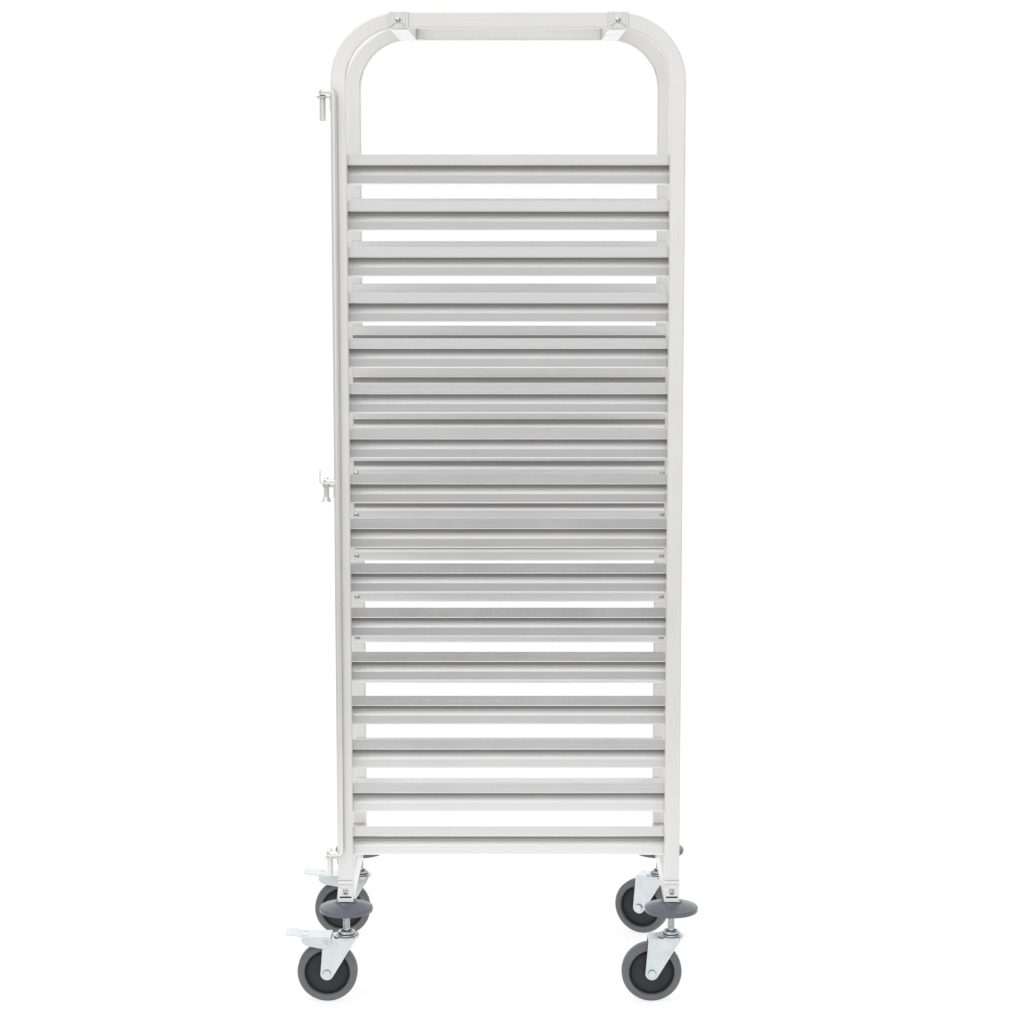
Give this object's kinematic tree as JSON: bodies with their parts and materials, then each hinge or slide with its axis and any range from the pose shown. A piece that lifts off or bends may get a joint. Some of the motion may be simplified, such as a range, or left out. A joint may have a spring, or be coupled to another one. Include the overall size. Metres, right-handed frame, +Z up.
{
  "type": "sheet pan rack",
  "caption": "Tall steel rack trolley: two tube hoops and crossbars carry levels of pressed tray rails on swivel casters with bumper discs, and a swinging bar keeps trays in.",
  "frame": {"origin": "on the floor, under the middle of the whole box (its front edge is the brake pedals' tips)", "axes": "+Z up, -X the front that trays go in from, -Y the side with the retaining bar"},
  "size_m": [0.697, 0.445, 1.6512],
  "materials": {
    "frame_steel": "satin brushed along the tube",
    "crossbar_steel": "satin pressed sheet",
    "rail_steel": "satin brushed along the rail",
    "screw_steel": "bright steel screws",
    "bar_steel": "polished bent rod",
    "insert_plastic": "black moulded plastic",
    "bumper_rubber": "smooth grey rubber",
    "zinc_plate": "bright zinc plate",
    "core_plastic": "charcoal moulded plastic",
    "tyre_rubber": "grey non-marking rubber"
  },
  "bodies": {
    "rack": {"right_hoop": "frame_steel", "left_hoop": "frame_steel", "top_crossbar_front": "crossbar_steel", "top_crossbar_rear": "crossbar_steel", "bottom_crossbar_front": "crossbar_steel", "bottom_crossbar_rear": "crossbar_steel", "rail_pair_01": "rail_steel", "rail_pair_02": "rail_steel", "rail_pair_03": "rail_steel", "rail_pair_04": "rail_steel", "rail_pair_05": "rail_steel", "rail_pair_06": "rail_steel", "rail_pair_07": "rail_steel", "rail_pair_08": "rail_steel", "rail_pair_09": "rail_steel", "rail_pair_10": "rail_steel", "rail_pair_11": "rail_steel", "rail_pair_12": "rail_steel", "rail_pair_13": "rail_steel", "rail_pair_14": "rail_steel", "rail_pair_15": "rail_steel", "rail_pair_16": "rail_steel", "rail_screws": "screw_steel", "crossbar_screws": "screw_steel", "foot_inserts": "insert_plastic", "bumper_front_right": "bumper_rubber", "bumper_front_left": "bumper_rubber", "bumper_rear_right": "bumper_rubber", "bumper_rear_left": "bumper_rubber", "stem_front_right": "zinc_plate", "stem_front_left": "zinc_plate", "stem_rear_right": "zinc_plate", "stem_rear_left": "zinc_plate", "bar_bracket_top": "bar_steel", "bar_bracket_middle": "bar_steel", "bar_bracket_bottom": "bar_steel"},
    "caster_front_right": {"fork_front_right": "zinc_plate", "bearing_cap_front_right": "zinc_plate", "axle_front_right": "zinc_plate"},
    "wheel_front_right": {"wheel_core_front_right": "core_plastic", "tyre_front_right": "tyre_rubber"},
    "caster_front_left": {"fork_front_left": "zinc_plate", "bearing_cap_front_left": "zinc_plate", "axle_front_left": "zinc_plate"},
    "wheel_front_left": {"wheel_core_front_left": "core_plastic", "tyre_front_left": "tyre_rubber"},
    "caster_rear_right": {"fork_rear_right": "zinc_plate", "bearing_cap_rear_right": "zinc_plate", "axle_rear_right": "zinc_plate"},
    "wheel_rear_right": {"wheel_core_rear_right": "core_plastic", "tyre_rear_right": "tyre_rubber"},
    "caster_rear_left": {"fork_rear_left": "zinc_plate", "bearing_cap_rear_left": "zinc_plate", "axle_rear_left": "zinc_plate"},
    "wheel_rear_left": {"wheel_core_rear_left": "core_plastic", "tyre_rear_left": "tyre_rubber"},
    "pedal_front_right": {"brake_pedal_front_right": "zinc_plate"},
    "pedal_front_left": {"brake_pedal_front_left": "zinc_plate"},
    "bar": {"retaining_bar": "bar_steel", "bar_clip": "bar_steel"}
  },
  "joints": [
    {"name": "swivel_front_right", "type": "hinge", "parent": "rack", "child": "caster_front_right", "pos_m": [-0.2455, -0.1775, 0.112], "axis": [0, 0, 1], "continuous": true},
    {"name": "spin_front_right", "type": "hinge", "parent": "caster_front_right", "child": "wheel_front_right", "pos_m": [-0.278, -0.1775, 0.0508], "axis": [0, 1, 0], "continuous": true},
    {"name": "swivel_front_left", "type": "hinge", "parent": "rack", "child": "caster_front_left", "pos_m": [-0.2455, 0.1775, 0.112], "axis": [0, 0, 1], "continuous": true},
    {"name": "spin_front_left", "type": "hinge", "parent": "caster_front_left", "child": "wheel_front_left", "pos_m": [-0.278, 0.1775, 0.0508], "axis": [0, 1, 0], "continuous": true},
    {"name": "swivel_rear_right", "type": "hinge", "parent": "rack", "child": "caster_rear_right", "pos_m": [0.3035, -0.1775, 0.112], "axis": [0, 0, 1], "continuous": true},
    {"name": "spin_rear_right", "type": "hinge", "parent": "caster_rear_right", "child": "wheel_rear_right", "pos_m": [0.271, -0.1775, 0.0508], "axis": [0, 1, 0], "continuous": true},
    {"name": "swivel_rear_left", "type": "hinge", "parent": "rack", "child": "caster_rear_left", "pos_m": [0.3035, 0.1775, 0.112], "axis": [0, 0, 1], "continuous": true},
    {"name": "spin_rear_left", "type": "hinge", "parent": "caster_rear_left", "child": "wheel_rear_left", "pos_m": [0.27381, 0.19072, 0.0508], "axis": [0.4067, 0.9135, 0], "continuous": true},
    {"name": "brake_front_right", "type": "hinge", "parent": "caster_front_right", "child": "pedal_front_right", "pos_m": [-0.2775, -0.1775, 0.105], "axis": [0, -1, 0], "range_deg": [0, 12]},
    {"name": "brake_front_left", "type": "hinge", "parent": "caster_front_left", "child": "pedal_front_left", "pos_m": [-0.2775, 0.1775, 0.105], "axis": [0, -1, 0], "range_deg": [0, 12]},
    {"name": "bar_swing", "type": "hinge", "parent": "rack", "child": "bar", "pos_m": [-0.2726, -0.172, 0.889], "axis": [0, 0, -1], "range_deg": [0, 200]}
  ]
}
